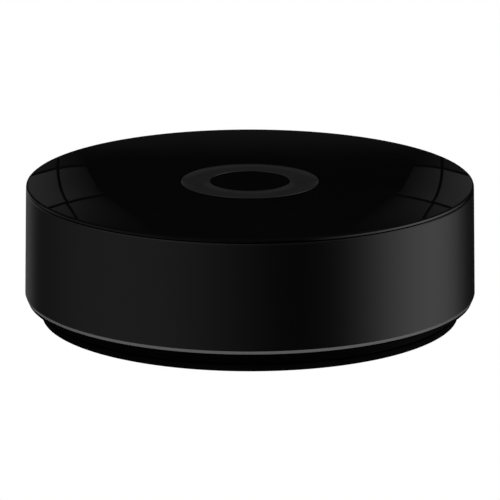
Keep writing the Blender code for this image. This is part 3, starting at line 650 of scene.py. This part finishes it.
def make_foot():
    """The rubber ring, with its edges rounded and fine grooves in its sole."""
    edge, top_edge = 0.3, 0.1
    groove_width, groove_depth, taper = 0.6, 0.25, 0.1
    inner = FOOT_RADIUS - FOOT_WIDTH
    pitch = FOOT_WIDTH / (FOOT_GROOVES + 1)
    outline = arc((inner + edge, edge), edge, 180, 270, 4)
    for number in range(1, FOOT_GROOVES + 1):
        middle = inner + pitch * number
        start, end = middle - groove_width / 2, middle + groove_width / 2
        outline += [(start, 0), (start + taper, groove_depth), (end - taper, groove_depth), (end, 0)]
    outline += arc((FOOT_RADIUS - edge, edge), edge, -90, 0, 4)
    outline += arc((FOOT_RADIUS - top_edge, FOOT_HEIGHT - top_edge), top_edge, 0, 90, 2)
    outline += [(inner, FOOT_HEIGHT)]
    bm = bmesh.new()
    add_turned(bm, outline)
    foot = finish(add_object("foot_ring", bm), LOOKS["foot_rubber"], ["rubber_foot"])
    repaint(foot, SOLE_LOOK, lambda r, z, up: z < edge and up < 0 and inner < r < FOOT_RADIUS - edge)


def make_label():
    """A blank plate with a raised border."""
    low, high = LABEL_LOW.z, LABEL_HIGH.z
    corner, border, depth = 2.0, 0.5, 0.08
    bm = bmesh.new()
    add_plate(bm, rounded_rectangle(LABEL_LOW.xy, LABEL_HIGH.xy, corner), low, high)
    label = add_object("blank_label", bm)
    field = bmesh.new()
    inset = Vector((border, border))
    outline = rounded_rectangle(LABEL_LOW.xy + inset, LABEL_HIGH.xy - inset, corner - border)
    add_plate(field, outline, low - 1, low + depth)
    combine(label, field, "DIFFERENCE")
    finish(label, LOOKS["label_stock"], ["rating_label"])


def make_panel():
    """The tray at the rear: a rim that follows the wall, and a floor with collars round its sockets."""
    corners = rounded_rectangle(PANEL_LOW.xz, PANEL_HIGH.xz, BAY_CORNER - GAP)
    bm = bmesh.new()
    add_plate(bm, corners, PANEL_BACK_Y, OUTSIDE_Y, facing_y)
    panel = add_object("port_tray", bm)
    rim = bmesh.new()
    add_cylinder(rim, PANEL_RIM_RADIUS, 0, SHELL_TOP_Z, FINE)
    combine(panel, rim, "INTERSECT")
    inset = Vector((PANEL_RIM, PANEL_RIM))
    tray = bmesh.new()
    outline = rounded_rectangle(PANEL_LOW.xz + inset, PANEL_HIGH.xz - inset, 1.0)
    add_plate(tray, outline, PANEL_FACE_Y, OUTSIDE_Y, facing_y)
    combine(panel, tray, "DIFFERENCE")

    collars = bmesh.new()
    for hole in (JACK_HOLE, USB_HOLE):
        collar = grown(*hole, COLLAR_WIDTH)
        add_plate(collars, collar, PANEL_FACE_Y - 0.5, PANEL_FACE_Y + COLLAR_HEIGHT, facing_y)
    combine(panel, collars, "UNION")
    holes = bmesh.new()
    behind, before = PANEL_BACK_Y - 1, PANEL_FACE_Y + 1
    for hole in (JACK_HOLE, USB_HOLE):
        add_plate(holes, grown(*hole), behind, before, facing_y)
    well = KEY_RADIUS + GAP
    mouth = well + 0.6
    cone = [(0, behind), (well, behind), (well, PANEL_FACE_Y - 0.5)]
    cone += [(mouth, PANEL_FACE_Y), (mouth, before), (0, before)]
    add_turned(holes, cone, SMALL, (KEY_X, KEY_Z), "y")
    combine(panel, holes, "DIFFERENCE")
    soften(panel, 0.12)
    finish(panel, LOOKS["port_plastic"], ["port_panel"])


def make_jack_shell():
    """The network socket's steel shell."""
    bm = bmesh.new()
    add_block(bm, JACK_LOW, JACK_HIGH)
    shell = add_object("jack_shell", bm)
    hollow = bmesh.new()
    outline = grown(*JACK_MOUTH, steps=2)
    add_plate(hollow, outline, JACK_LOW.y + JACK_BACK_WALL, JACK_HIGH.y + 1, facing_y)
    combine(shell, hollow, "DIFFERENCE")
    soften(shell, 0.2)
    finish(shell, LOOKS["steel"], ["rj45_jack"])


def make_jack_insert():
    """The black insert, with a cavity for the plug and its latch."""
    play = 0.1
    back, front = JACK_LOW.y + JACK_BACK_WALL + play, JACK_HIGH.y - play
    bm = bmesh.new()
    add_plate(bm, grown(*JACK_MOUTH, -play, 2), back, front, facing_y)
    insert = add_object("jack_insert", bm)
    half = [(LATCH_HALF_WIDTH, LATCH_LOW_Z), (LATCH_HALF_WIDTH, PLUG_LOW_Z)]
    half += [(PLUG_HALF_WIDTH, PLUG_LOW_Z), (PLUG_HALF_WIDTH, PLUG_HIGH_Z)]
    outline = [(JACK_X + x, z) for x, z in half] + [(JACK_X - x, z) for x, z in reversed(half)]
    cavity = bmesh.new()
    add_plate(cavity, outline, CAVITY_BACK_Y, front + 1, facing_y)
    combine(insert, cavity, "DIFFERENCE")
    soften(insert, 0.15)
    finish(insert, LOOKS["chip_plastic"])


def make_jack_contacts():
    """Eight sprung wires that hang from the top of the cavity and slope down to its back."""
    thick = 0.35
    root_y = JACK_HIGH.y - 1.6
    bend = (JACK_HIGH.y - 2.4, PLUG_HIGH_Z - 2 * thick)
    knee, tip = (37.6, 17.1), (CAVITY_BACK_Y + 0.1, 16.9)
    wire = [(root_y, PLUG_HIGH_Z), (root_y, PLUG_HIGH_Z - thick)] + arc(bend, thick, 70, 110, 3) + [knee, tip]
    wire += [(tip[0], tip[1] + thick), (knee[0] - 0.3, knee[1] + thick)] + arc(bend, 2 * thick, 110, 80, 3)
    wires = bmesh.new()
    for number in range(CONTACT_COUNT):
        middle = JACK_X + (number - (CONTACT_COUNT - 1) / 2) * CONTACT_PITCH
        add_plate(wires, wire, middle - CONTACT_WIDTH / 2, middle + CONTACT_WIDTH / 2, facing_x)
    finish(add_object("jack_contacts", wires), GOLD)


def make_link_light(name, side, look):
    """A small lens in a lower corner of the network socket."""
    lens = bmesh.new()
    outline = grown((JACK_X + side * LIGHT_X, LIGHT_Z), *LIGHT_SHAPE)
    add_plate(lens, outline, JACK_HIGH.y - 0.5, JACK_HIGH.y + 0.1, facing_y)
    light = add_object(name, lens)
    soften(light, 0.08)
    finish(light, look)


def make_jack_springs():
    """Two bent leaves on the cavity's sides, which grip the plug's shield."""
    start, middle, end = JACK_HIGH.y - 0.4, JACK_HIGH.y - 2.6, JACK_HIGH.y - 5.2
    bulge, thick, foot = 0.7, 0.15, 0.2
    springs = bmesh.new()
    for side in (-1, 1):
        wall = JACK_X + side * PLUG_HALF_WIDTH
        leaf = [(wall, start - foot), (wall - side * (bulge - thick), middle), (wall, end + foot)]
        leaf += [(wall, end), (wall - side * bulge, middle), (wall, start)]
        add_plate(springs, leaf, SPRING_LOW_Z, SPRING_HIGH_Z)
    finish(add_object("jack_springs", springs), LOOKS["steel"])


def make_inlet_shell():
    """The power inlet's drawn steel shell."""
    bm = bmesh.new()
    add_plate(bm, grown(*USB_SHELL), USB_LOW.y, USB_HIGH.y, facing_y)
    shell = add_object("inlet_shell", bm)
    hollow = bmesh.new()
    add_plate(hollow, grown(*USB_MOUTH), USB_LOW.y + USB_BACK_WALL, USB_HIGH.y + 1, facing_y)
    combine(shell, hollow, "DIFFERENCE")
    soften(shell, 0.08)
    finish(shell, LOOKS["steel"], ["usb_socket"])


def make_inlet_tongue():
    """The tongue in the power inlet."""
    bm = bmesh.new()
    add_block(bm, TONGUE_LOW, TONGUE_HIGH)
    tongue = add_object("inlet_tongue", bm)
    soften(tongue, 0.15)
    finish(tongue, LOOKS["chip_plastic"], ["usb_tongue"])


def make_inlet_pads():
    """Gold pads on both faces of the tongue."""
    proud, sunk = 0.03, 0.05
    start_y, end_y = TONGUE_LOW.y + 1, TONGUE_HIGH.y - 0.3
    heights = ((TONGUE_HIGH.z - sunk, TONGUE_HIGH.z + proud), (TONGUE_LOW.z - proud, TONGUE_LOW.z + sunk))
    pads = bmesh.new()
    for number, (low, high) in itertools.product(range(PAD_COUNT), heights):
        middle = USB_X + (number - (PAD_COUNT - 1) / 2) * PAD_PITCH
        add_block(pads, (middle - PAD_WIDTH / 2, start_y, low), (middle + PAD_WIDTH / 2, end_y, high))
    finish(add_object("inlet_pads", pads), GOLD)


def make_key():
    """The round pairing key, with a dished face."""
    stem, flange = 1.2, KEY_RADIUS + 0.9
    face, edge, dish = KEY_HIGH.y, 0.3, 0.22
    flange_back, flange_front = face - 3.7, face - 2.6
    bowl, steps = KEY_RADIUS - edge - 0.15, 6
    outline = [(0, KEY_LOW.y), (stem, KEY_LOW.y), (stem, flange_back), (flange, flange_back)]
    outline += [(flange, flange_front), (KEY_RADIUS, flange_front)]
    outline += arc((KEY_RADIUS - edge, face - edge), edge, 0, 90, 5)
    outline += [(bowl * (1 - i / steps), face - dish * (1 - (1 - i / steps) ** 2)) for i in range(steps + 1)]
    bm = bmesh.new()
    add_turned(bm, outline, SMALL, (KEY_X, KEY_Z), "y")
    key = add_object("key_cap", bm)
    finish(key, LOOKS["button_plastic"], ["pairing_button"], body="pairing_key")


def dress_frame():
    """Give every CAD node that still shows the look of its slot."""
    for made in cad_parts.values():
        for number, held in enumerate(made.material_slots):
            made.data.materials[number] = LOOKS[held.material.name.split(".")[0]]


# Stage

def calc(tree, operation, *values):
    """A Math node on numbers or sockets."""
    made = add_node(tree, "ShaderNodeMath", operation=operation)
    for socket, value in zip(made.inputs, values):
        if isinstance(value, bpy.types.NodeSocket):
            tree.links.new(value, socket)
        else:
            socket.default_value = value
    return made.outputs[0]


def fade(tree, value, start, end, first, last):
    """A smooth step from first to last as the value goes from start to end."""
    made = add_node(tree, "ShaderNodeMapRange", From_Min=start, From_Max=end, To_Min=first, To_Max=last)
    made.interpolation_type = "SMOOTHSTEP"
    tree.links.new(value, made.inputs["Value"])
    return made.outputs["Result"]


def make_world():
    """White to the camera. Reflections see softboxes, and the dark band that the cover mirrors."""
    world = bpy.data.worlds.new("studio")
    world.use_nodes = True
    bpy.context.scene.world = world
    tree = world.node_tree
    place = add_node(tree, "ShaderNodeTexCoord")
    split = add_node(tree, "ShaderNodeSeparateXYZ")
    tree.links.new(place.outputs["Generated"], split.inputs[0])
    x, y, z = split.outputs
    azimuth = calc(tree, "DEGREES", calc(tree, "ARCTAN2", x, calc(tree, "MULTIPLY", y, -1)))
    elevation = calc(tree, "DEGREES", calc(tree, "ARCSINE", z))
    total = fade(tree, elevation, ZENITH_START, ZENITH_END, 0, ZENITH_LEVEL)
    for _, centre, half_width, softness, low, high, level in SOFTBOXES:
        away = calc(tree, "ABSOLUTE", calc(tree, "WRAP", calc(tree, "SUBTRACT", azimuth, centre), 180, -180))
        across = fade(tree, away, half_width - softness, half_width + softness, level, 0)
        above = fade(tree, elevation, low - ELEVATION_SOFTNESS, low + ELEVATION_SOFTNESS, 0, 1)
        below = fade(tree, elevation, high - ELEVATION_SOFTNESS, high + ELEVATION_SOFTNESS, 1, 0)
        lit = calc(tree, "MULTIPLY", across, calc(tree, "MULTIPLY", above, below))
        total = calc(tree, "ADD", total, lit)
    under = fade(tree, elevation, *MIRROR_BAND_START, 1, 0)
    over = fade(tree, elevation, *MIRROR_BAND_END, 0, 1)
    total = calc(tree, "MULTIPLY", total, calc(tree, "ADD", under, over))
    glow = fade(tree, elevation, *GLOW_FADE, HORIZON_GLOW, 0)
    glow = calc(tree, "MULTIPLY", glow, fade(tree, elevation, *GLOW_RISE, 0, 1))
    total = calc(tree, "ADD", total, glow)

    surroundings = tree.nodes["Background"]
    surroundings.inputs["Color"].default_value = (1, 1, 1, 1)
    tree.links.new(total, surroundings.inputs["Strength"])
    white = add_node(tree, "ShaderNodeBackground", Color=(1, 1, 1, 1))
    path = add_node(tree, "ShaderNodeLightPath")
    pick = add_node(tree, "ShaderNodeMixShader")
    tree.links.new(path.outputs["Is Camera Ray"], pick.inputs[0])
    tree.links.new(surroundings.outputs[0], pick.inputs[1])
    tree.links.new(white.outputs[0], pick.inputs[2])
    tree.links.new(pick.outputs[0], tree.nodes["World Output"].inputs["Surface"])
    world.cycles_visibility.diffuse = False


def floor_look():
    """Plain white from above, and clear from below."""
    look = bpy.data.materials.new("floor_white")
    look.use_nodes = True
    tree = look.node_tree
    tree.nodes.remove(tree.nodes["Principled BSDF"])
    glow = add_node(tree, "ShaderNodeEmission", Color=(1, 1, 1, 1), Strength=1.0)
    clear = add_node(tree, "ShaderNodeBsdfTransparent")
    sides = add_node(tree, "ShaderNodeNewGeometry")
    pick = add_node(tree, "ShaderNodeMixShader")
    tree.links.new(sides.outputs["Backfacing"], pick.inputs[0])
    tree.links.new(glow.outputs[0], pick.inputs[1])
    tree.links.new(clear.outputs[0], pick.inputs[2])
    tree.links.new(pick.outputs[0], tree.nodes["Material Output"].inputs["Surface"])
    return look


def make_floor():
    """A plain floor that throws no shadow and isn't seen in reflections."""
    reach = FLOOR_HALF_WIDTH * MM
    corners = ((-reach, -reach, 0), (reach, -reach, 0), (reach, reach, 0), (-reach, reach, 0))
    bm = bmesh.new()
    bm.faces.new([bm.verts.new(corner) for corner in corners])
    floor = add_object("floor", bm)
    floor.data.materials.append(floor_look())
    floor.visible_glossy = False
    floor.visible_shadow = False


def make_top_light():
    """A large soft light overhead. It gives the diffuse light, and the world gives the reflections."""
    data = bpy.data.lights.new("top_light", "AREA")
    data.energy = TOP_LIGHT_WATTS
    data.size = TOP_LIGHT_SIZE * MM
    light = bpy.data.objects.new("top_light", data)
    light.location = (0, 0, TOP_LIGHT_Z * MM)
    light.visible_glossy = False
    light.visible_camera = False
    bpy.context.scene.collection.objects.link(light)


def camera_place():
    """Where the camera stands, in millimetres."""
    back = Vector((0, -math.cos(CAMERA_ELEVATION), math.sin(CAMERA_ELEVATION)))
    return Vector((0, 0, AIM_Z)) + back * CAMERA_DISTANCE


def mirrored(x, y):
    """Where the window has to be for the camera to see it in the cover at a point."""
    slope = 2 * COVER_DROP / COVER_RADIUS**2
    point = Vector((x, y, cover_height(math.hypot(x, y))))
    normal = Vector((slope * x, slope * y, 1)).normalized()
    ray = (point - camera_place()).normalized()
    ray -= 2 * ray.dot(normal) * normal
    return point + ray * ((WINDOW_DISTANCE - y) / ray.y)


def along(points, share):
    """A point on a smooth curve through evenly spaced points, at a share of its way."""
    place = share * (len(points) - 1)
    number = min(int(place), len(points) - 2)
    step = place - number
    start, end = points[number], points[number + 1]
    before = points[number - 1] if number else 2 * start - end
    after = points[number + 2] if number + 2 < len(points) else 2 * end - start
    bend = 2 * before - 5 * start + 4 * end - after
    twist = 3 * start - before - 3 * end + after
    return start + ((end - before) * step + bend * step**2 + twist * step**3) / 2


def add_pane(bm, glow, row, column, side):
    """A pane as a grid of faces, which leaves room for the bars round it."""
    rows = [[Vector(point) for point in points] for points in WINDOW_ROWS]
    share, bar_above, bar_below = PANE_ROWS[row]
    pane = {}
    for down, across in itertools.product(range(PANE_STEPS + 1), repeat=2):
        down_share = (row + down / PANE_STEPS) / (len(rows) - 1)
        across_share = (column + across / PANE_STEPS) / 2
        x, y, level = along([along(points, across_share) for points in rows], down_share)
        x += BAR_HALF_WIDTH * ((column == 1 and across == 0) - (column == 0 and across == PANE_STEPS))
        y += BAR_HALF_DEPTH * (bar_below * (down == PANE_STEPS) - bar_above * (down == 0))
        vert = bm.verts.new(mirrored(side * x, y) * MM)
        vert[glow] = share * max(level, 0)
        pane[down, across] = vert
    for down, across in itertools.product(range(PANE_STEPS), repeat=2):
        corners = ((down, across), (down, across + 1), (down + 1, across + 1), (down + 1, across))
        bm.faces.new([pane[corner] for corner in corners])


def window_look():
    """A glow of the strength that the mesh holds at each point."""
    look = bpy.data.materials.new("window_glow")
    look.use_nodes = True
    tree = look.node_tree
    tree.nodes.remove(tree.nodes["Principled BSDF"])
    level = add_node(tree, "ShaderNodeAttribute", attribute_name="glow")
    light = add_node(tree, "ShaderNodeEmission", Color=(1, 1, 1, 1))
    tree.links.new(level.outputs["Fac"], light.inputs["Strength"])
    tree.links.new(light.outputs[0], tree.nodes["Material Output"].inputs["Surface"])
    return look


def make_windows():
    """Dim window panes round the room, which show only as reflections near the cover's edge."""
    bm = bmesh.new()
    glow = bm.verts.layers.float.new("glow")
    for row, column, side in itertools.product(range(len(PANE_ROWS)), range(2), (1, -1)):
        add_pane(bm, glow, row, column, side)
    window = add_object("window", bm)
    window.data.materials.append(window_look())
    windows = [window]
    for number in range(1, WINDOW_TURNS):
        copy = bpy.data.objects.new(f"window_{number}", window.data)
        copy.rotation_euler.z = math.tau * number / WINDOW_TURNS
        bpy.context.scene.collection.objects.link(copy)
        windows.append(copy)
    for made in windows:
        made.visible_camera = False
        made.visible_diffuse = False
        made.visible_shadow = False


def make_camera():
    data = bpy.data.cameras.new("camera")
    data.lens = data.sensor_width * RADIUS_SHARE * CAMERA_DISTANCE / BODY_RADIUS
    data.clip_start = 0.1
    data.clip_end = 20.0
    camera = bpy.data.objects.new("camera", data)
    bpy.context.scene.collection.objects.link(camera)
    camera.location = camera_place() * MM
    camera.rotation_euler = (math.pi / 2 - CAMERA_ELEVATION, 0, 0)
    bpy.context.scene.camera = camera


def build():
    make_cover()
    make_ring()
    make_shell()
    make_base()
    make_foot()
    make_label()
    make_panel()
    make_jack_shell()
    make_jack_insert()
    make_jack_contacts()
    make_link_light("link_light_1", -1, GREEN_LENS)
    make_link_light("link_light_2", 1, AMBER_LENS)
    make_jack_springs()
    make_inlet_shell()
    make_inlet_tongue()
    make_inlet_pads()
    make_key()
    dress_frame()
    make_world()
    make_floor()
    make_top_light()
    make_windows()
    make_camera()
    bpy.context.scene.view_settings.view_transform = "Standard"


build()
